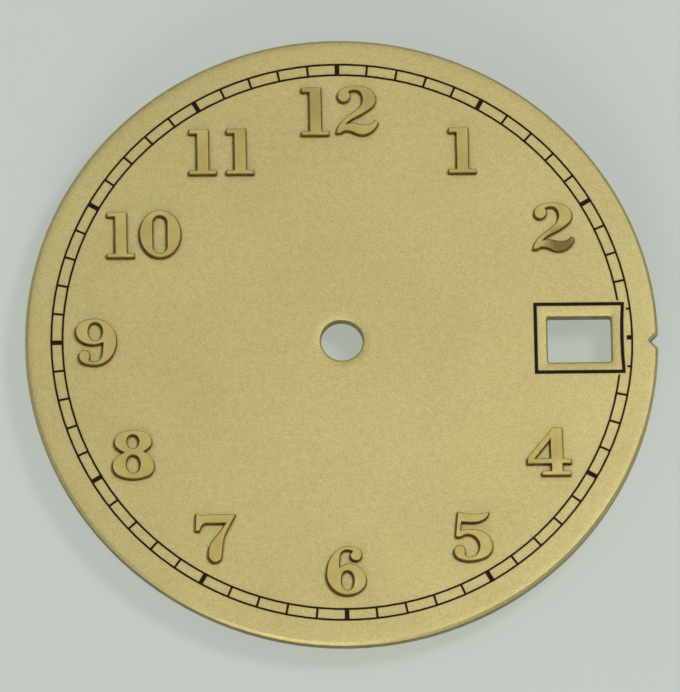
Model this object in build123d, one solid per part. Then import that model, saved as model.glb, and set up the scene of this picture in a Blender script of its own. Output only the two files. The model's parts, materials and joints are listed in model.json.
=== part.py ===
from build123d import *
import os
from math import cos, sin, sqrt, tan, radians

# Watch dial: a thin round plate with applied metal numerals, printed minute track and a date window.
# Frame: origin on the centre hole's axis at the plate's back face, +Z out of the face, +Y to 12, +X to 3.
# All lengths are in millimetres and all angles in degrees, turned from 3 o'clock towards 12.

# Plate
dial_diameter = 28.5
plate_thickness = 0.6
rim_bevel = 0.12
centre_hole_diameter = 1.9
centre_hole_bevel = 0.05

# Notch in the rim at 3 o'clock
notch_depth = 0.36
notch_flank_angle = 45.0
notch_angle = -0.5
notch_tip_round = 0.03
notch_mouth_round = 0.16
cut_overrun = 0.5

# Date window and the line round it
window_track_inset = 0.94
window_drop = 0.05
window_width = 2.87
window_height = 2.16
window_corner_round = 0.12
window_edge_bevel = 0.06
frame_margin_side = 0.61
frame_margin_end = 0.59
frame_line = 0.15
frame_bow = 0.06

# Printed minute track
ink_thickness = 0.02
track_inset = 1.18
track_width = 0.502
circle_line = 0.08
minute_line = 0.09
five_minute_line = 0.2
print_gap = 0.08
minutes = 60
minutes_a_numeral = 5

# Applied numerals
numeral_height = 2.16
twelve_one_height = 2.28
twelve_two_height = 2.2
numeral_relief = 0.3
numeral_bevel = 0.03
bevel_angle = 45.0
ten_gap = 0.2
eleven_gap = 0.42
twelve_gap = 0.29
numeral_foot_diameter = 0.28
numeral_foot_clearance = 0.02
numeral_foot_sides = 6

# Strokes of the one
stem_width = 0.56
slab_width = 1.27
slab_height = 0.2
stem_offset = 0.37
flag_reach = 0.35
flag_height = 0.23

# Dial feet under the back
dial_foot_diameter = 0.7
dial_foot_length = 2.0
dial_foot_chamfer = 0.1
foot_head_diameter = 1.3
foot_head_height = 0.15
dial_foot_inset = 1.95
dial_foot_angles = (74.0, 248.0)
solder_width = 0.28
solder_height = 0.12

# Outlines of the numerals, as shares of the numeral's height from its left edge and baseline, with
# headings in degrees. A step is a straight run to x, y. With one heading it is a curve that goes on
# smoothly and arrives at that heading. With two it leaves a corner at the first, arrives at the second.
# Every outline runs anticlockwise, so that its face looks out of the dial.
two_shares = [
    (0.187, 0.709, -90, 0), (0.322, 0.85, 90), (0.292, 0.934, 130), (0.415, 0.968, 38, 0),
    (0.563, 0.78, -90), (0.275, 0.425, -144), (0.01, 0.04, -98), (0.08, 0.04), (0.231, 0.093, 0, 0),
    (0.56, 0, 0), (0.898, 0.264, 70), (0.824, 0.324), (0.62, 0.22, -124, 180), (0.225, 0.235, -151),
    (0.6, 0.475, 48, 32), (0.85, 0.775, 90), (0.426, 1.07, 180), (0.052, 0.838, -90),
]
four_shares = [
    (0.5, 0.25),
    (0.5, 0.093),
    (0.303, 0.093),
    (0.303, 0.0),
    (0.907, 0.0),
    (0.907, 0.093),
    (0.74, 0.093),
    (0.74, 0.25),
    (0.925, 0.25),
    (0.925, 0.347),
    (0.75, 0.347),
    (0.742, 1.032),
    (0.542, 1.032),
    (0.0, 0.37),
    (0.0, 0.25),
]
four_eye_shares = [(0.163, 0.363), (0.487, 0.363), (0.487, 0.767)]
five_shares = [
    (0.046, 0.565),
    (0.106, 0.514, 0),
    (0.30, 0.574, 0),
    (0.542, 0.319, -90),
    (0.338, 0.093, 180),
    (0.241, 0.144, 116),
    (0.25, 0.218, 74, 90),
    (0.13, 0.347, 180),
    (0.005, 0.218, -90),
    (0.338, 0.0, 0),
    (0.82, 0.319, 90),
    (0.407, 0.685, 180),
    (0.155, 0.665, 193),
    (0.18, 0.843),
    (0.64, 0.88, -5, 27),
    (0.765, 1.055, 76),
    (0.097, 1.074, 193, 160),
]
six_shares = [
    (0.446, 0, -90, 0), (0.83, 0.324, 90), (0.469, 0.676, 180), (0.279, 0.602, -137),
    (0.437, 0.968, 90, 0), (0.548, 0.935, -38), (0.498, 0.852, -130, -90), (0.631, 0.736, 0),
    (0.751, 0.866, 90), (0.469, 1.051, 180), (0, 0.449, -90),
]
seven_shares = [
    (0.108, 0.676), (0.25, 0.842, 86, 0), (0.64, 0.842), (0.264, 0.167, -123, -90), (0.42, 0, 0),
    (0.575, 0.32, 88), (0.86, 1.035, 62), (0.3, 1.035), (0.18, 1.01, 180, 180), (0.02, 1.065, 180),
    (0, 0.676),
]
eight_shares = [
    (0.875, 0.264, 0, 90), (0.657, 0.588, 160), (0.833, 0.806, 29, 90), (0.44, 1.06, 180),
    (0.046, 0.796, -90), (0.25, 0.574, -21), (0, 0.287, -157, -90), (0.435, 0, 0),
]
nine_shares = [
    (0, 0.731, 180, -90), (0.37, 0.444, 0), (0.569, 0.491, 28), (0.38, 0.079, -90, 180),
    (0.278, 0.116, 130), (0.301, 0.218, 47, 90), (0.185, 0.333, 180), (0.06, 0.199, -90), (0.403, 0, 0),
    (0.861, 0.532, 90), (0.403, 1.019, 180),
]

# Ovals, as shares of the numeral's height: middle, half width and half height
six_eyes_shares = [(0.439, 0.315, 0.131, 0.206)]
eight_eyes_shares = [(0.431, 0.806, 0.126, 0.148), (0.433, 0.319, 0.145, 0.195)]
nine_eyes_shares = [(0.412, 0.729, 0.148, 0.195)]
zero_shares = (0.441, 0.514, 0.441, 0.525)
zero_slot_shares = (0.434, 0.5, 0.141, 0.405)

# Place of each numeral's foot, as shares of its height
one_foot_shares = (0.294, 0.5)
two_foot_shares = (0.66, 0.66)
four_foot_shares = (0.62, 0.3)
five_foot_shares = (0.68, 0.33)
six_foot_shares = (0.14, 0.5)
seven_foot_shares = (0.43, 0.3)
eight_foot_shares = (0.727, 0.3)
nine_foot_shares = (0.72, 0.55)
zero_foot_shares = (0.727, 0.514)

# Places of the numerals' middles, as shares of the inner circle's radius
place_shares = {
    "12": (0.007, 0.8596),
    "1": (0.4444, 0.7045),
    "2": (0.7664, 0.4127),
    "4": (0.732, -0.4286),
    "5": (0.4536, -0.7405),
    "6": (-0.0004, -0.8638),
    "7": (-0.4624, -0.737),
    "8": (-0.7522, -0.425),
    "9": (-0.8797, -0.004),
    "10": (-0.704, 0.3993),
    "11": (-0.4225, 0.7073),
}

dial_radius = dial_diameter / 2
face_z = plate_thickness
outer_circle_radius = dial_radius - track_inset
inner_circle_radius = outer_circle_radius - track_width
window_centre = (outer_circle_radius - window_track_inset - window_width / 2, -window_drop)


def polar(radius, angle):
    """Point at a radius and an angle from 3 o'clock."""
    return (radius * cos(radians(angle)), radius * sin(radians(angle)))


def heading_vector(heading):
    """Unit vector along a heading in degrees."""
    return Vector(cos(radians(heading)), sin(radians(heading)))


def smooth_run(start, leave, end, arrive):
    """Two arcs that run smoothly from start to end, leaving and arriving along the given directions."""
    chord = end - start
    along = chord.dot(leave + arrive)
    spread = 2 * (1 - leave.dot(arrive)) * chord.dot(chord)
    reach = chord.dot(chord) / (along + sqrt(along**2 + spread))
    middle = (start + leave * reach + end - arrive * reach) / 2
    return [TangentArc(start, middle, tangent=leave), TangentArc(end, middle, tangent=-arrive)]


def outline_face(steps_shares, height):
    """Flat face inside a closed outline of straight and smooth runs."""
    edges = []
    point = Vector(*steps_shares[-1][:2]) * height
    direction = None
    for x, y, *headings in steps_shares:
        goal = Vector(x, y) * height
        if headings:
            arrive = heading_vector(headings[-1])
            leave = heading_vector(headings[0]) if len(headings) > 1 else direction
            edges += smooth_run(point, leave, goal, arrive)
            direction = arrive
        else:
            edges.append(Line(point, goal))
            direction = (goal - point).normalized()
        point = goal
    return make_face(edges)


def oval_face(oval_shares, height):
    """Oval with its middle, half width and half height in shares of a height."""
    x, y, half_width, half_height = oval_shares
    quarters_shares = [
        (x, y + half_height, 90, 180),
        (x - half_width, y, -90),
        (x, y - half_height, 0),
        (x + half_width, y, 90),
    ]
    return outline_face(quarters_shares, height)


def one_faces(height):
    """The one: a stem on a slab, with a square flag at its top left."""
    stem_right = stem_offset + stem_width
    points = [
        (0, 0),
        (slab_width, 0),
        (slab_width, slab_height),
        (stem_right, slab_height),
        (stem_right, height),
        (stem_offset - flag_reach, height),
        (stem_offset - flag_reach, height - flag_height),
        (stem_offset, height - flag_height),
        (stem_offset, slab_height),
        (0, slab_height),
    ]
    return [make_face(Polyline(*points, close=True))]


def four_faces(height):
    """The four: its outline with a slab foot, and its three-cornered eye."""
    return [outline_face(four_shares, height), outline_face(four_eye_shares, height)]


def curved_faces(outline_shares, eyes_shares):
    """Maker of a curved numeral's outline and its oval eyes, if it has any."""
    def faces(height):
        eyes = [oval_face(oval_shares, height) for oval_shares in eyes_shares]
        return [outline_face(outline_shares, height), *eyes]
    return faces


def zero_faces(height):
    """The zero: an oval, and a slot in it that has round ends."""
    slot_x, slot_y, slot_half_width, slot_half_height = [share * height for share in zero_slot_shares]
    slot = Rot(0, 0, 90) * SlotOverall(2 * slot_half_height, 2 * slot_half_width)
    return [oval_face(zero_shares, height), Pos(slot_x, slot_y) * slot]


# Each numeral's maker of its outline and eyes, its height and the place of its foot
one = (one_faces, numeral_height, one_foot_shares)
twelve_one = (one_faces, twelve_one_height, one_foot_shares)
two = (curved_faces(two_shares, []), numeral_height, two_foot_shares)
twelve_two = (curved_faces(two_shares, []), twelve_two_height, two_foot_shares)
four = (four_faces, numeral_height, four_foot_shares)
five = (curved_faces(five_shares, []), numeral_height, five_foot_shares)
six = (curved_faces(six_shares, six_eyes_shares), numeral_height, six_foot_shares)
seven = (curved_faces(seven_shares, []), numeral_height, seven_foot_shares)
eight = (curved_faces(eight_shares, eight_eyes_shares), numeral_height, eight_foot_shares)
nine = (curved_faces(nine_shares, nine_eyes_shares), numeral_height, nine_foot_shares)
zero = (zero_faces, numeral_height, zero_foot_shares)

# Hours of the face: the pieces that stand at each, with the gap between the two of a pair
hours = {
    "12": ([("numeral_12_one", twelve_one), ("numeral_12_two", twelve_two)], twelve_gap),
    "1": ([("numeral_1", one)], 0),
    "2": ([("numeral_2", two)], 0),
    "4": ([("numeral_4", four)], 0),
    "5": ([("numeral_5", five)], 0),
    "6": ([("numeral_6", six)], 0),
    "7": ([("numeral_7", seven)], 0),
    "8": ([("numeral_8", eight)], 0),
    "9": ([("numeral_9", nine)], 0),
    "10": ([("numeral_10_one", one), ("numeral_10_zero", zero)], ten_gap),
    "11": ([("numeral_11_left", one), ("numeral_11_right", one)], eleven_gap),
}


def placed_numerals():
    """Every numeral's name, outline and eyes, with the places of its lower left corner and its foot."""
    placed = []
    for hour, (pieces, gap) in hours.items():
        group = []
        right_edge = -gap
        for name, (face_maker, height, foot_shares) in pieces:
            faces = face_maker(height)
            box = faces[0].bounding_box()
            left = right_edge + gap - box.min.X
            right_edge = left + box.max.X
            foot = (foot_shares[0] * height, foot_shares[1] * height)
            group.append((name, faces, left, foot, box.min.Y, box.max.Y))
        bottom = min(low for *others, low, high in group)
        top = max(high for *others, low, high in group)
        x_share, y_share = place_shares[hour]
        corner_x = x_share * inner_circle_radius - right_edge / 2
        corner_y = y_share * inner_circle_radius - (bottom + top) / 2
        for name, faces, left, foot, low, high in group:
            corner = (corner_x + left, corner_y)
            placed.append((name, faces, corner, (corner[0] + foot[0], corner_y + foot[1])))
    return placed


def raised(face, taper):
    """Block as high as the numerals' relief, whose upper edge is bevelled in, or out for an eye."""
    bevel_start = numeral_relief - numeral_bevel
    block = extrude(face, amount=bevel_start)
    return block + extrude(Pos(0, 0, bevel_start) * face, amount=numeral_bevel, taper=taper)


def numeral_foot_outline(clearance):
    """A numeral's foot seen from above, wider by a clearance for its hole, with a few flats for its round."""
    return RegularPolygon(numeral_foot_diameter / 2 + clearance, numeral_foot_sides)


def numeral(faces, corner, foot):
    """Applied numeral: a raised outline less its eyes, with a foot that passes through the plate."""
    body = raised(faces[0], bevel_angle)
    for eye in faces[1:]:
        body -= raised(eye, -bevel_angle)
    post = extrude(Pos(*foot) * numeral_foot_outline(0), amount=plate_thickness)
    return Pos(*corner, face_z) * body + post


def rim_sketch():
    """Round plate outline with the V notch, its tip and mouth rounded."""
    tip = polar(dial_radius - notch_depth, notch_angle)
    reach = notch_depth + cut_overrun
    half_mouth = reach * tan(radians(notch_flank_angle))
    wedge = make_face(Polyline((0, 0), (reach, half_mouth), (reach, -half_mouth), close=True))
    outline = Circle(dial_radius) - Pos(*tip) * Rot(0, 0, notch_angle) * wedge
    near_tip = outline.vertices().sort_by_distance((*tip, 0))
    outline = fillet(near_tip[1:3], notch_mouth_round)
    tip_corner = outline.vertices().sort_by_distance((*tip, 0))[:1]
    return fillet(tip_corner, notch_tip_round)


def dial_plate(placed):
    """Plate with its notch, centre hole, date window and a hole for each numeral's foot."""
    plate = extrude(rim_sketch(), amount=plate_thickness)
    plate = chamfer(plate.faces().sort_by(Axis.Z)[-1].edges(), rim_bevel)
    hole = Circle(centre_hole_diameter / 2)
    window = RectangleRounded(window_width, window_height, window_corner_round)
    openings = [((0, 0), hole, centre_hole_bevel), (window_centre, window, window_edge_bevel)]
    for centre, opening, bevel in openings:
        plate -= extrude(Pos(*centre) * opening, amount=plate_thickness)
        upper_wires = plate.faces().sort_by(Axis.Z)[-1].inner_wires()
        nearest = upper_wires.sort_by_distance((*centre, plate_thickness))[0]
        plate = chamfer(nearest.edges(), bevel)
    foot_holes = Sketch()
    for name, faces, corner, foot in placed:
        foot_holes += Pos(*foot) * numeral_foot_outline(numeral_foot_clearance)
    return plate - extrude(foot_holes, amount=plate_thickness)


def ink(sketch):
    """Printed area: a thin layer on the face."""
    return Pos(0, 0, face_z) * extrude(sketch, amount=ink_thickness)


def ring(radius, line):
    """Ring of a given middle radius and line width."""
    return Circle(radius + line / 2) - Circle(radius - line / 2)


def frame_rectangle(margin):
    """Rectangle round the date window, wider than the frame line's outer edge by a margin."""
    width = window_width + 2 * (frame_margin_side + margin)
    height = window_height + 2 * (frame_margin_end + margin)
    return Pos(window_centre[0], 0) * Rectangle(width, height)


def bowed_rectangle(inset):
    """The frame's outline drawn in by an inset, with its side by the rim bowed towards the window."""
    half_width = window_width / 2 + frame_margin_side - inset
    half_height = window_height / 2 + frame_margin_end - inset
    straight = Polyline(
        (half_width, half_height),
        (-half_width, half_height),
        (-half_width, -half_height),
        (half_width, -half_height),
    )
    bow = ThreePointArc((half_width, -half_height), (half_width - frame_bow, 0), (half_width, half_height))
    return Pos(window_centre[0], 0) * make_face([*straight.edges(), bow])


def date_frame():
    """Printed line round the date window."""
    return ink(bowed_rectangle(0) - bowed_rectangle(frame_line))


def track_marks(five_minutes):
    """Marks between the two circles: the five-minute ones, or all the others."""
    line = five_minute_line if five_minutes else minute_line
    inner_radius = inner_circle_radius + circle_line / 2
    outer_radius = outer_circle_radius - circle_line / 2
    bar = Rectangle(outer_radius - inner_radius, line, align=(Align.MIN, Align.CENTER))
    bars = Sketch()
    for minute in range(minutes):
        if (minute % minutes_a_numeral == 0) == five_minutes:
            bars += Rot(0, 0, minute * 360 / minutes) * Pos(inner_radius) * bar
    return ink(bars - frame_rectangle(print_gap))


def dial_foot(angle):
    """Post with a flat head under the back, which locates the dial in the movement."""
    under = (Align.CENTER, Align.CENTER, Align.MAX)
    post = Cylinder(dial_foot_diameter / 2, dial_foot_length, align=under)
    post = chamfer(post.faces().sort_by(Axis.Z)[0].edges(), dial_foot_chamfer)
    post += Cylinder(foot_head_diameter / 2, foot_head_height, align=under)
    return Pos(*polar(dial_radius - dial_foot_inset, angle)) * post


def foot_solder(angle):
    """Ring of solder with sloping sides round a dial foot's head."""
    inner = foot_head_diameter / 2
    outer = inner + solder_width
    profile = make_face(Polyline((inner, 0), (outer, 0), (inner, -solder_height), close=True))
    fillet_ring = revolve(Plane.XZ * profile, Axis.Z)
    return Pos(*polar(dial_radius - dial_foot_inset, angle)) * fillet_ring


def all_parts():
    """Every sub-part by its node name."""
    placed = placed_numerals()
    parts = {"dial_plate": dial_plate(placed)}
    for name, faces, corner, foot in placed:
        parts[name] = numeral(faces, corner, foot)
    parts["outer_circle"] = ink(ring(outer_circle_radius, circle_line))
    parts["inner_circle"] = ink(ring(inner_circle_radius, circle_line) - frame_rectangle(print_gap))
    parts["minute_marks"] = track_marks(False)
    parts["five_minute_marks"] = track_marks(True)
    parts["date_frame"] = date_frame()
    for name, angle in zip(("upper", "lower"), dial_foot_angles):
        parts["dial_foot_" + name] = dial_foot(angle)
        parts["foot_solder_" + name] = foot_solder(angle)
    return parts


os.makedirs("parts", exist_ok=True)
for node, shape in all_parts().items():
    shape.label = node
    export_step(shape, f"parts/{node}.step")
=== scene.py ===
import bmesh
import bpy
import json
from math import cos, pi, radians, sin, tan
from mathutils import Euler, Matrix, Vector


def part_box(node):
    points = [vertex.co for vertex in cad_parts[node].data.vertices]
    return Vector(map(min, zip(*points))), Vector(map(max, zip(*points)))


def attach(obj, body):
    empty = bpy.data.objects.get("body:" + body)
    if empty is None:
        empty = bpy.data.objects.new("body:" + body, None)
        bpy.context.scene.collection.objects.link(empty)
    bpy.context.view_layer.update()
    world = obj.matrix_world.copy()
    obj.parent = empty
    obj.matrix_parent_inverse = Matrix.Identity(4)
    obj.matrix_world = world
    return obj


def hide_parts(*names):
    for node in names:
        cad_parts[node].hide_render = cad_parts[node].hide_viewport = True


# Look of a watch dial with applied gilt numerals, printed track and date window.
# Lengths are in millimetres where a name ends in mm, and otherwise in metres. Angles are in degrees.
# A grain is how many of a noise's grains lie in a millimetre, and a colour is red, green and blue.
mm = 0.001
per_metre = 1000.0

# Camera: the dial's turn against it, its distance, the dial's shift in its view and its lens
dial_tip_angle = -17.16
dial_swing_angle = 1.47
dial_turn_angle = 1.02
camera_distance = 0.5
camera_shift = (0.00009, 0.000264)
camera_lens = 578.3
camera_sensor = 36.0
clip_near = 0.01
clip_far = 20.0

# Floor
floor_size = 3.0
floor_thickness = 0.01
floor_colour = (0.24, 0.264, 0.245)
floor_paler = 1.03
floor_grain = 0.8
floor_glow = 1.37
floor_roughness = 0.7

# Lights: each one's tilt from the dial's axis towards 3 and 12 o'clock, its distance, size and power
key_tilt_right = 18.0
key_tilt_up = 4.5
key_distance = 0.26
key_size = 0.055
key_power = 0.175
key_colour = (1.0, 0.97, 0.92)
front_tilt_right = -20.0
front_tilt_up = -62.0
front_distance = 0.5
front_size = 0.25
front_power = 1.15
front_colour = (1.0, 0.98, 0.94)
fill_tilt_right = -40.0
fill_tilt_up = -25.0
fill_distance = 0.6
fill_size = 0.3
fill_power = 0.15
fill_colour = (0.9, 0.95, 1.0)

# Sky: its colours, and how high it starts to change from one to the other and has changed
sky_overhead = (0.86, 0.86, 0.84)
sky_horizon = (0.46, 0.455, 0.44)
sky_strength = 0.61
sky_rise = (0.7, 0.96)

# Rounding of edges, in millimetres, and what counts as an edge. Points closer than the merging length
# become one, faces flatter than the flat angle are joined, and a face with more corners is cut up after.
plate_round_mm = 0.045
numeral_round_mm = 0.04
foot_round_mm = 0.04
round_segments = 3
round_profile = 0.5
edge_angle = 28.0
merge_mm = 0.0005
flat_angle = 0.3
most_corners = 4

# How far up a face looks, from 0 for a wall to 1 for a flat top, where its material changes. An edge of a
# numeral that looks as far towards 12 as well takes the top's material as painted light; other edges take a
# darker one as painted shade.
flat_above = 0.9999
level_above = 0.5
edge_above = 0.6
lit_edge_above = 0.2

# Places of the materials in the lists of the plate and of a numeral
plate_front, plate_back, plate_wall = range(3)
numeral_top, numeral_shaded_edge, numeral_wall, numeral_foot_end = range(4)

# Finer layers that a noise has on top of its grain
least_detail = 1.0
some_detail = 2.0
more_detail = 3.0
most_detail = 4.0

# Parts of a noise's range that are drawn out over a whole change: the narrower, the harder its edges
whole_range = (0.0, 1.0)
clear_range = (0.35, 0.65)
soft_range = (0.3, 0.7)
patchy_range = (0.4, 0.7)
speckled_range = (0.35, 0.7)
streaky_range = (0.3, 0.75)
ragged_range = (0.2, 0.7)

# Change from all to nothing over a range
falling = (1.0, 0.0)

# Stretch of a noise along each axis: the smaller, the longer its grains along that axis, and with zero
# the noise or a distance is the same at every height
no_stretch = (1, 1, 1)
no_height = (1, 1, 0)

# Front of the plate
face_wide_grain = 0.12
face_wide_share = (0.0, 0.4)
face_close_grain = 3.2
face_close_share = (0.0, 0.6)
face_speck_grain = 18.0
face_dull_colours = ((0.480, 0.404, 0.170), (0.552, 0.475, 0.211))
face_fresh_colours = ((0.619, 0.550, 0.254), (0.691, 0.621, 0.299))
face_rough_grain = 0.3
face_roughness = (0.54, 0.57)
face_relief_grain = 22.0
face_relief_mm = 0.006

# Soft fall of the face towards its rim, hole and window, in millimetres
rim_radius_mm = 14.25
hole_radius_mm = 0.95
window_middle_mm = (10.695, -0.05, 0)
window_half_mm = (1.435, 1.08, 0)
fall_width_mm = 0.42
fall_depth_mm = 0.03
fall_power = 2.0

# Painted shade, brown, where the numerals stand on the face: how open the face is where it is strongest and
# where it ends
corner_shade_colour = (0.28, 0.165, 0.045)
corner_shade_reach_mm = 0.1
corner_shade_rays = 12
corner_shade_openness = (0.5, 0.93)

# Back of the plate
back_cloud_grain = 0.2
back_brush_grain = 12.0
back_brush_stretch = (0.04, 1, 1)
back_colours = ((0.72, 0.56, 0.26), (0.50, 0.36, 0.15))
back_line_colour = (0.80, 0.66, 0.34)
back_roughness = (0.28, 0.45)
back_relief_mm = 0.006

# Heat stain on the back round each foot, in millimetres from its axis: where it is strongest and ends
stain_colour = (0.34, 0.19, 0.13)
stain_reach_mm = (0.95, 2.4)
stain_ragged_grain = 1.4

# Cut walls of the plate, painted dark brown as shade
wall_cloud_grain = 1.5
shaded_wall_colours = ((0.165, 0.125, 0.038), (0.26, 0.205, 0.065))
wall_grain = 14.0
wall_stretch = (0.3, 0.3, 1)
wall_roughness = (0.3, 0.5)
wall_relief_mm = 0.004

# Tops of the numerals
top_cloud_grain = 0.8
top_colours = ((0.76, 0.61, 0.20), (0.88, 0.73, 0.27))
top_scratch_grain = 12.0
top_scratch_stretch = (1, 0.1, 1)
top_scratch_mm = 0.0006
top_roughness = (0.13, 0.2)
top_wave_grain = 0.7
top_wave_mm = 0.006

# Painted dark reflections, as darker patches on the numerals' tops: each one's middle and reach in
# millimetres and its strength
dark_reflection_colour = (0.29, 0.255, 0.078)
dark_reflection_core_share = 0.4
dark_reflections_mm = (((10.0, 4.4, 0), 0.95, 1.0), ((1.6, 11.2, 0), 0.8, 0.25), ((-1.6, 11.0, 0), 1.5, 0.3))

# Edges of the numerals away from 12, painted darker as shade
edge_cloud_grain = 1.6
shaded_edge_colours = ((0.26, 0.165, 0.048), (0.36, 0.24, 0.08))
edge_grain = 14.0
edge_roughness = (0.6, 0.75)
edge_relief_mm = 0.002

# Sides of the numerals
side_cloud_grain = 2.5
side_colours = ((0.085, 0.044, 0.009), (0.150, 0.083, 0.020))
side_grain = 16.0
side_stretch = (1, 1, 0.1)
side_roughness = (0.3, 0.5)
side_relief_mm = 0.004

# Ink
ink_cloud_grain = 1.5
ink_grain = 18.0
ink_colours = ((0.004, 0.003, 0.001), (0.010, 0.007, 0.003))
ink_grain_colour = (0.016, 0.011, 0.005)
ink_roughness = (0.45, 0.6)
ink_shine = 0.12
ink_relief_mm = 0.002

# Copper of the feet
copper_cloud_grain = 1.2
copper_line_grain = 18.0
copper_line_stretch = (1, 1, 0.06)
copper_colours = ((0.80, 0.44, 0.28), (0.46, 0.23, 0.14))
copper_line_colour = (0.88, 0.55, 0.38)
copper_roughness = (0.25, 0.42)
copper_relief_mm = 0.004

# Solder round the feet. Its edge wavers in waves, each with its count round a foot, its size and its start.
solder_cloud_grain = 2.0
solder_colours = ((0.62, 0.61, 0.58), (0.42, 0.41, 0.38))
solder_grain = 9.0
solder_roughness = (0.28, 0.5)
solder_relief_mm = 0.01
solder_steps_round = 96
solder_steps_up = 10
solder_concave = 2.2
solder_wobble_share = 0.16
solder_waves = ((3, 0.5, 0.4), (5, 0.3, 1.7), (8, 0.2, 2.9))


def vector_sum(tree, operation, vector, other=None):
    """Sum on a vector and, where it takes one, another given as three numbers."""
    node = tree.nodes.new("ShaderNodeVectorMath")
    node.operation = operation
    tree.links.new(vector, node.inputs[0])
    if other is not None:
        node.inputs[1].default_value = other
    return node.outputs["Value" if operation in ("LENGTH", "DISTANCE") else "Vector"]


def coordinates(tree, stretch):
    """The object's own coordinates in millimetres, stretched along each axis."""
    place_node = tree.nodes.new("ShaderNodeTexCoord")
    scale = [per_metre * share for share in stretch]
    return vector_sum(tree, "MULTIPLY", place_node.outputs["Object"], scale)


def noise(tree, grain, detail, stretch=no_stretch):
    """Noise with a number of grains to the millimetre."""
    node = tree.nodes.new("ShaderNodeTexNoise")
    node.inputs["Scale"].default_value = grain
    node.inputs["Detail"].default_value = detail
    tree.links.new(coordinates(tree, stretch), node.inputs["Vector"])
    return node.outputs[0]


def spread(tree, value, over, onto=whole_range):
    """A value's range mapped onto another, and held at its ends."""
    node = tree.nodes.new("ShaderNodeMapRange")
    node.inputs["From Min"].default_value, node.inputs["From Max"].default_value = over
    node.inputs["To Min"].default_value, node.inputs["To Max"].default_value = onto
    tree.links.new(value, node.inputs["Value"])
    return node.outputs["Result"]


def reckon(tree, operation, first, second):
    """Sum on two values, each a socket or a number."""
    node = tree.nodes.new("ShaderNodeMath")
    node.operation = operation
    for socket, value in zip(node.inputs, (first, second)):
        if isinstance(value, (int, float)):
            socket.default_value = value
        else:
            tree.links.new(value, socket)
    return node.outputs[0]


def blend(tree, share, low, high):
    """Colour between two colours, each a socket or three numbers."""
    node = tree.nodes.new("ShaderNodeMix")
    node.data_type = "RGBA"
    sockets = [socket for socket in node.inputs if socket.type == "RGBA"]
    tree.links.new(share, node.inputs[0])
    for socket, colour in zip(sockets, (low, high)):
        if isinstance(colour, tuple):
            socket.default_value = (*colour, 1.0)
        else:
            tree.links.new(colour, socket)
    return [socket for socket in node.outputs if socket.type == "RGBA"][0]


def bump(tree, height, depth_mm, normal=None):
    """Relief of a given depth in the surface's normal, on top of another relief if there is one."""
    node = tree.nodes.new("ShaderNodeBump")
    node.inputs["Distance"].default_value = depth_mm * mm
    tree.links.new(height, node.inputs["Height"])
    if normal is not None:
        tree.links.new(normal, node.inputs["Normal"])
    return node.outputs["Normal"]


def new_material(name, metallic):
    """Material with an empty shader: the material, its node tree and its shader."""
    material = bpy.data.materials.new(name)
    material.use_nodes = True
    shader = material.node_tree.nodes["Principled BSDF"]
    shader.inputs["Metallic"].default_value = metallic
    return material, material.node_tree, shader


def finish_surface(tree, shader, colour, rough, relief):
    """The shader's colour, roughness and normal, each from a socket."""
    tree.links.new(colour, shader.inputs["Base Color"])
    tree.links.new(rough, shader.inputs["Roughness"])
    tree.links.new(relief, shader.inputs["Normal"])


def worn_metal(name, cloud_grain, colours, grain, stretch, roughness, relief_mm):
    """Metal tinted in clouds, whose roughness and relief follow one finer grain."""
    material, tree, shader = new_material(name, 1.0)
    cloud = spread(tree, noise(tree, cloud_grain, more_detail), clear_range)
    lines = noise(tree, grain, some_detail, stretch)
    rough = spread(tree, lines, soft_range, roughness)
    finish_surface(tree, shader, blend(tree, cloud, *colours), rough, bump(tree, lines, relief_mm))
    return material


def fall(tree, distance_mm):
    """Share by which the face has fallen: none a fall's width away from an edge, and one at the edge."""
    near = spread(tree, distance_mm, (0.0, fall_width_mm), falling)
    return reckon(tree, "POWER", near, fall_power)


def edge_falls(tree):
    """Height of the face, lower towards its rim, centre hole and date window."""
    place_mm = coordinates(tree, no_height)
    radius = vector_sum(tree, "LENGTH", place_mm)
    from_rim = reckon(tree, "SUBTRACT", rim_radius_mm, radius)
    from_hole = reckon(tree, "SUBTRACT", radius, hole_radius_mm)
    reach = vector_sum(tree, "ABSOLUTE", vector_sum(tree, "SUBTRACT", place_mm, window_middle_mm))
    outside = vector_sum(tree, "MAXIMUM", vector_sum(tree, "SUBTRACT", reach, window_half_mm), (0, 0, 0))
    from_window = vector_sum(tree, "LENGTH", outside)
    total = reckon(tree, "ADD", fall(tree, from_rim), fall(tree, from_hole))
    return reckon(tree, "SUBTRACT", 1.0, reckon(tree, "ADD", total, fall(tree, from_window)))


def painted_corner_shade(tree):
    """Share of painted shade, in brown, on the face where a numeral's side stands on it and closes it in.
    """
    corner = tree.nodes.new("ShaderNodeAmbientOcclusion")
    corner.samples = corner_shade_rays
    corner.inputs["Distance"].default_value = corner_shade_reach_mm * mm
    return spread(tree, corner.outputs["AO"], corner_shade_openness, falling)


def round_spots(tree, spots):
    """Strongest of several round spots at a place, each with its middle, reach and strength."""
    place_mm = coordinates(tree, no_height)
    total = None
    for middle_mm, reach_mm, strength in spots:
        distance = vector_sum(tree, "DISTANCE", place_mm, middle_mm)
        share = spread(tree, distance, reach_mm, (strength, 0.0))
        total = share if total is None else reckon(tree, "MAXIMUM", total, share)
    return total


def heat_stain(tree):
    """Share of the stain that soldering left on the back, strongest by each foot."""
    spots = []
    for name in ("dial_foot_upper", "dial_foot_lower"):
        low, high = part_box(name)
        middle_mm = (low + high) / 2 * per_metre
        spots.append(((middle_mm.x, middle_mm.y, 0), stain_reach_mm, 1.0))
    ragged = spread(tree, noise(tree, stain_ragged_grain, most_detail), ragged_range)
    return reckon(tree, "MULTIPLY", round_spots(tree, spots), ragged)


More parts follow.
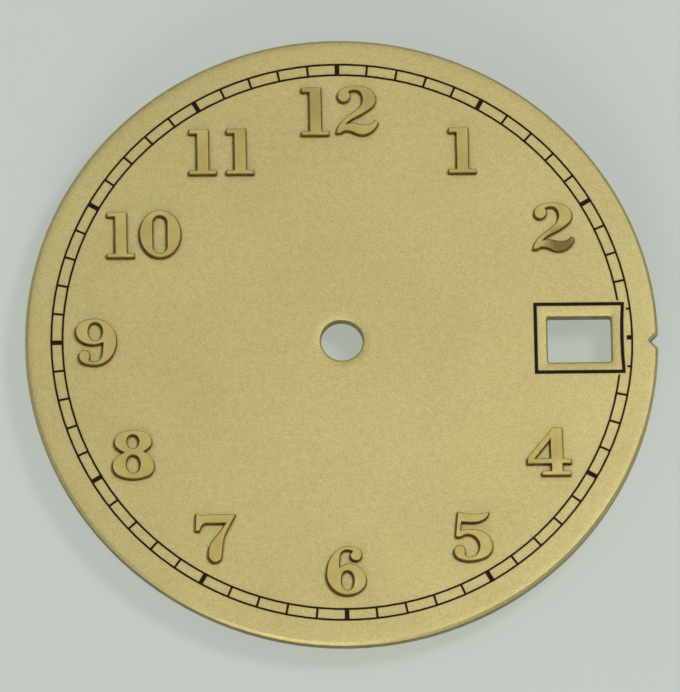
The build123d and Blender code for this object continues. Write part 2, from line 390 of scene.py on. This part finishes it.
def patches(tree):
    """Share of painted dark reflection: most in the middle of each patch on the numerals, none outside it.
    """
    spots = []
    for middle_mm, reach_mm, strength in dark_reflections_mm:
        spots.append((middle_mm, (dark_reflection_core_share * reach_mm, reach_mm), strength))
    return round_spots(tree, spots)


def matte_gilt():
    """Front of the plate: pale gold plating over a fine matte grain, falling a little at its edges, with
    painted shade where the numerals stand on it.
    """
    material, tree, shader = new_material("matte_gilt", 1.0)
    wide = spread(tree, noise(tree, face_wide_grain, more_detail), clear_range, face_wide_share)
    close = spread(tree, noise(tree, face_close_grain, some_detail), soft_range, face_close_share)
    cloud = reckon(tree, "ADD", wide, close)
    speck = spread(tree, noise(tree, face_speck_grain, some_detail), clear_range)
    dull = blend(tree, cloud, *face_dull_colours)
    fresh = blend(tree, cloud, *face_fresh_colours)
    clean = blend(tree, speck, dull, fresh)
    # Painted shade: the face turns brown where a numeral's side closes it in
    colour = blend(tree, painted_corner_shade(tree), clean, corner_shade_colour)
    rough = spread(tree, noise(tree, face_rough_grain, some_detail), soft_range, face_roughness)
    relief = bump(tree, noise(tree, face_relief_grain, more_detail), face_relief_mm)
    relief = bump(tree, edge_falls(tree), fall_depth_mm, relief)
    finish_surface(tree, shader, colour, rough, relief)
    return material


def brushed_brass():
    """Back of the plate: brass, brushed along one way, with light tarnish and stains by the feet."""
    material, tree, shader = new_material("brushed_brass", 1.0)
    cloud = spread(tree, noise(tree, back_cloud_grain, most_detail), patchy_range)
    lines = noise(tree, back_brush_grain, more_detail, back_brush_stretch)
    tint = blend(tree, cloud, *back_colours)
    clean = blend(tree, spread(tree, lines, soft_range), tint, back_line_colour)
    colour = blend(tree, heat_stain(tree), clean, stain_colour)
    rough = spread(tree, lines, soft_range, back_roughness)
    finish_surface(tree, shader, colour, rough, bump(tree, lines, back_relief_mm))
    return material


def shaded_cut_brass():
    """Walls of the plate's rim, hole, window and notch: cut brass, painted dark brown as shade."""
    return worn_metal("shaded_cut_brass", wall_cloud_grain, shaded_wall_colours, wall_grain, wall_stretch,
                      wall_roughness, wall_relief_mm)


def polished_gilt():
    """Tops of the numerals: polished gilt, very slightly wavy, with a few fine scratches and painted dark
    reflections in patches.
    """
    material, tree, shader = new_material("polished_gilt", 1.0)
    cloud = spread(tree, noise(tree, top_cloud_grain, some_detail), clear_range)
    tint = blend(tree, cloud, *top_colours)
    # Painted dark reflections: darker patches on a few numerals' tops
    colour = blend(tree, patches(tree), tint, dark_reflection_colour)
    lines = noise(tree, top_scratch_grain, some_detail, top_scratch_stretch)
    rough = spread(tree, lines, soft_range, top_roughness)
    wave = bump(tree, noise(tree, top_wave_grain, least_detail), top_wave_mm)
    finish_surface(tree, shader, colour, rough, bump(tree, lines, top_scratch_mm, wave))
    return material


def shaded_edge_gilt():
    """Edges of the numerals, except those towards 12: gilt, browner and duller than the tops; the darker
    brown is painted shade.
    """
    return worn_metal("shaded_edge_gilt", edge_cloud_grain, shaded_edge_colours, edge_grain, no_stretch,
                      edge_roughness, edge_relief_mm)


def tarnished_gilt():
    """Stamped sides of the numerals: unpolished and darkest brown."""
    return worn_metal("tarnished_gilt", side_cloud_grain, side_colours, side_grain, side_stretch,
                      side_roughness, side_relief_mm)


def black_ink():
    """Printed lines: black ink, slightly uneven, with a soft gloss."""
    material, tree, shader = new_material("black_ink", 0.0)
    cloud = spread(tree, noise(tree, ink_cloud_grain, more_detail), patchy_range)
    grain = spread(tree, noise(tree, ink_grain, some_detail), speckled_range)
    tint = blend(tree, cloud, *ink_colours)
    colour = blend(tree, grain, tint, ink_grain_colour)
    rough = spread(tree, grain, whole_range, ink_roughness)
    shader.inputs["Specular IOR Level"].default_value = ink_shine
    finish_surface(tree, shader, colour, rough, bump(tree, grain, ink_relief_mm))
    return material


def drawn_copper():
    """Dial feet: bare copper wire with fine lines along it and darker oxide patches."""
    material, tree, shader = new_material("drawn_copper", 1.0)
    cloud = spread(tree, noise(tree, copper_cloud_grain, most_detail), patchy_range)
    lines = noise(tree, copper_line_grain, some_detail, copper_line_stretch)
    tint = blend(tree, cloud, *copper_colours)
    colour = blend(tree, spread(tree, lines, streaky_range), tint, copper_line_colour)
    rough = spread(tree, lines, soft_range, copper_roughness)
    finish_surface(tree, shader, colour, rough, bump(tree, lines, copper_relief_mm))
    return material


def tin_solder():
    """Solder: dull grey tin with a frosty grain and small dimples."""
    material, tree, shader = new_material("tin_solder", 1.0)
    cloud = spread(tree, noise(tree, solder_cloud_grain, more_detail), speckled_range)
    grain = noise(tree, solder_grain, more_detail)
    colour = blend(tree, cloud, *solder_colours)
    rough = spread(tree, grain, soft_range, solder_roughness)
    finish_surface(tree, shader, colour, rough, bump(tree, grain, solder_relief_mm))
    return material


def floor_paint():
    """Pale studio floor with a faint grain, lit a little from within as a light table is."""
    material, tree, shader = new_material("floor_paint", 0.0)
    grain = noise(tree, floor_grain, more_detail)
    paler = tuple(share * floor_paler for share in floor_colour)
    tree.links.new(blend(tree, grain, floor_colour, paler), shader.inputs["Base Color"])
    shader.inputs["Roughness"].default_value = floor_roughness
    shader.inputs["Emission Color"].default_value = (*floor_colour, 1.0)
    shader.inputs["Emission Strength"].default_value = floor_glow
    return material


def scaled(mesh, share):
    """Changes a mesh's size about the origin, by the same share along each axis."""
    bmesh.ops.scale(mesh, vec=Vector((share, share, share)), verts=mesh.verts)


def rounded_copy(node_name, round_mm):
    """Mesh of a CAD node, in millimetres, whose sharp edges are rounded."""
    mesh = bmesh.new()
    mesh.from_mesh(nodes[node_name].data)
    scaled(mesh, per_metre)
    bmesh.ops.remove_doubles(mesh, verts=mesh.verts, dist=merge_mm)
    bmesh.ops.dissolve_limit(mesh, angle_limit=radians(flat_angle), verts=mesh.verts, edges=mesh.edges)
    whole = [line for line in mesh.edges if line.is_manifold]
    sharp = [line for line in whole if line.calc_face_angle() > radians(edge_angle)]
    bmesh.ops.bevel(mesh, geom=sharp, offset=round_mm, offset_type="OFFSET", segments=round_segments,
                    profile=round_profile, affect="EDGES", clamp_overlap=True)
    bmesh.ops.triangulate(mesh, faces=[face for face in mesh.faces if len(face.verts) > most_corners])
    return mesh


def place(mesh, node_name, materials, choose):
    """Object of a mesh in millimetres that stands for a CAD node, each face with its material."""
    for face in mesh.faces:
        face.smooth = abs(face.normal.z) < flat_above
        face.material_index = choose(face)
    scaled(mesh, mm)
    data = bpy.data.meshes.new(node_name + "_shown")
    mesh.to_mesh(data)
    mesh.free()
    for material in materials:
        data.materials.append(material)
    piece = bpy.data.objects.new(node_name + "_shown", data)
    bpy.context.scene.collection.objects.link(piece)
    normals = piece.modifiers.new("normals", "WEIGHTED_NORMAL")
    normals.keep_sharp = True
    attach(piece, "root")
    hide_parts(node_name)


def plate_side(face):
    """Which of the plate's materials a face takes: front, back or cut wall."""
    if face.normal.z > level_above:
        return plate_front
    return plate_back if face.normal.z < -level_above else plate_wall


def numeral_side(face):
    """Which of a numeral's materials a face takes. Edges towards 12 take the bright top material as painted
    light, and the other edges the darker edge material as painted shade.
    """
    # Painted light and shade: edges towards 12 take the top's material, the other edges a darker one
    if face.normal.z > flat_above or min(face.normal.y, face.normal.z) > lit_edge_above:
        return numeral_top
    if face.normal.z > edge_above:
        return numeral_shaded_edge
    return numeral_foot_end if face.normal.z < -flat_above else numeral_wall


def only_one(face):
    """Place of the only material of a piece that has one."""
    return 0


def dress_plate():
    """The plate: a matte gilt face, a brushed back and cut walls painted darker as shade."""
    place(rounded_copy("dial_plate", plate_round_mm), "dial_plate", [gilt, brass, cut], plate_side)


def dress_numeral(node_name):
    """A numeral: polished top, edges painted lit towards 12 and shaded elsewhere, tarnished sides and a
    foot filed bright with the back.
    """
    mesh = rounded_copy(node_name, numeral_round_mm)
    place(mesh, node_name, [polish, edge, tarnish, brass], numeral_side)


def dress_foot(node_name):
    """A dial foot: drawn copper with rounded edges."""
    place(rounded_copy(node_name, foot_round_mm), node_name, [copper], only_one)


def dress_solder(node_name):
    """Solder drawn up round a foot's head in a hollow curve with an uneven edge."""
    low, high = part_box(node_name)
    middle = (low + high) / 2 * per_metre
    outer = (high.x - low.x) / 2 * per_metre
    foot_low, foot_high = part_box(node_name.replace("foot_solder", "dial_foot"))
    inner = (foot_high.x - foot_low.x) / 2 * per_metre
    depth = (high.z - low.z) * per_metre
    mesh = bmesh.new()
    rings = []
    for up in range(solder_steps_up + 1):
        share = up / solder_steps_up
        height = -depth * share ** solder_concave
        ring = []
        for step in range(solder_steps_round):
            angle = 2 * pi * step / solder_steps_round
            wobble = sum(size * sin(waves * angle + start) for waves, size, start in solder_waves)
            reach = (outer - inner) * (1 - solder_wobble_share * (1 + wobble) / 2)
            radius = inner + reach * (1 - share)
            corner = (middle.x + radius * cos(angle), middle.y + radius * sin(angle), height)
            ring.append(mesh.verts.new(corner))
        rings.append(ring)
    rings.append([mesh.verts.new((vert.co.x, vert.co.y, 0)) for vert in rings[-1]])
    for lower, upper in zip(rings, rings[1:] + rings[:1]):
        for step in range(solder_steps_round):
            following = (step + 1) % solder_steps_round
            mesh.faces.new((lower[step], lower[following], upper[following], upper[step]))
    bmesh.ops.recalc_face_normals(mesh, faces=mesh.faces)
    place(mesh, node_name, [solder], only_one)


def dress_print(node_name):
    """Printed lines keep their CAD mesh and take the ink."""
    data = nodes[node_name].data
    data.materials.clear()
    data.materials.append(ink)


def aimed_light(name, tilt_right, tilt_up, distance, size, power, colour):
    """Round soft light above the dial, tilted from its axis towards 3 and 12 o'clock."""
    lamp = bpy.data.lights.new(name, "AREA")
    lamp.shape = "DISK"
    lamp.size = size
    lamp.energy = power
    lamp.color = colour
    light = bpy.data.objects.new(name, lamp)
    direction = Vector((tan(radians(tilt_right)), tan(radians(tilt_up)), 1)).normalized()
    light.location = direction * distance
    light.rotation_euler = direction.to_track_quat("Z", "Y").to_euler()
    bpy.context.scene.collection.objects.link(light)


def soft_sky():
    """Even studio surround, brighter overhead than at the horizon."""
    world = bpy.data.worlds.new("studio")
    world.use_nodes = True
    tree = world.node_tree
    place_node = tree.nodes.new("ShaderNodeTexCoord")
    split = tree.nodes.new("ShaderNodeSeparateXYZ")
    tree.links.new(place_node.outputs["Generated"], split.inputs[0])
    rise = spread(tree, split.outputs["Z"], sky_rise)
    background = tree.nodes["Background"]
    tree.links.new(blend(tree, rise, sky_horizon, sky_overhead), background.inputs["Color"])
    background.inputs["Strength"].default_value = sky_strength
    bpy.context.scene.world = world


def add_camera(face_height):
    """Camera at the photograph's angle, looking down at the dial's face."""
    turn = Euler((radians(dial_tip_angle), 0, 0)).to_matrix()
    turn = turn @ Euler((0, radians(dial_swing_angle), 0)).to_matrix()
    turn = turn @ Euler((0, 0, radians(dial_turn_angle))).to_matrix()
    seen_from = Vector((-camera_shift[0], -camera_shift[1], camera_distance))
    data = bpy.data.cameras.new("camera")
    data.lens = camera_lens
    data.sensor_width = camera_sensor
    data.clip_start = clip_near
    data.clip_end = clip_far
    camera = bpy.data.objects.new("camera", data)
    lift = Matrix.Translation((0, 0, face_height))
    camera.matrix_world = lift @ turn.transposed().to_4x4() @ Matrix.Translation(seen_from)
    bpy.context.scene.collection.objects.link(camera)
    bpy.context.scene.camera = camera


def add_floor(height):
    """Pale floor under the dial's feet."""
    mesh = bmesh.new()
    bmesh.ops.create_cube(mesh, size=1.0)
    bmesh.ops.scale(mesh, vec=Vector((floor_size, floor_size, floor_thickness)), verts=mesh.verts)
    bmesh.ops.translate(mesh, vec=Vector((0, 0, height - floor_thickness / 2)), verts=mesh.verts)
    data = bpy.data.meshes.new("floor")
    mesh.to_mesh(data)
    mesh.free()
    data.materials.append(floor_paint())
    floor = bpy.data.objects.new("floor", data)
    bpy.context.scene.collection.objects.link(floor)


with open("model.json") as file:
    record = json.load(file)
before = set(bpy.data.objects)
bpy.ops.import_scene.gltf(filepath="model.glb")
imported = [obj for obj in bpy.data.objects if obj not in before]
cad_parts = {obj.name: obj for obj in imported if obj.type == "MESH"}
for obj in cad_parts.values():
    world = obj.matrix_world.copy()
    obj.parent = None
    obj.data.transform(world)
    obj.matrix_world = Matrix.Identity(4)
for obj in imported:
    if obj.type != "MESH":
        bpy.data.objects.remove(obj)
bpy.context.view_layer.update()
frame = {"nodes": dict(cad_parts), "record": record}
nodes = frame["nodes"]
slots = {part["node"]: part["material_slot"] for part in frame["record"]["subparts"]}

gilt = matte_gilt()
brass = brushed_brass()
cut = shaded_cut_brass()
polish = polished_gilt()
edge = shaded_edge_gilt()
tarnish = tarnished_gilt()
ink = black_ink()
copper = drawn_copper()
solder = tin_solder()

dress_plate()
dressers = {"numerals": dress_numeral, "print": dress_print, "feet": dress_foot, "solder": dress_solder}
for name in sorted(nodes):
    if slots[name] in dressers:
        dressers[slots[name]](name)

bpy.context.scene.view_settings.view_transform = "Standard"
plate_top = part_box("dial_plate")[1].z
foot_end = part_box("dial_foot_upper")[0].z
add_floor(foot_end)
add_camera(plate_top)
soft_sky()
aimed_light("key", key_tilt_right, key_tilt_up, key_distance, key_size, key_power, key_colour)
aimed_light("front", front_tilt_right, front_tilt_up, front_distance, front_size, front_power, front_colour)
aimed_light("fill", fill_tilt_right, fill_tilt_up, fill_distance, fill_size, fill_power, fill_colour)
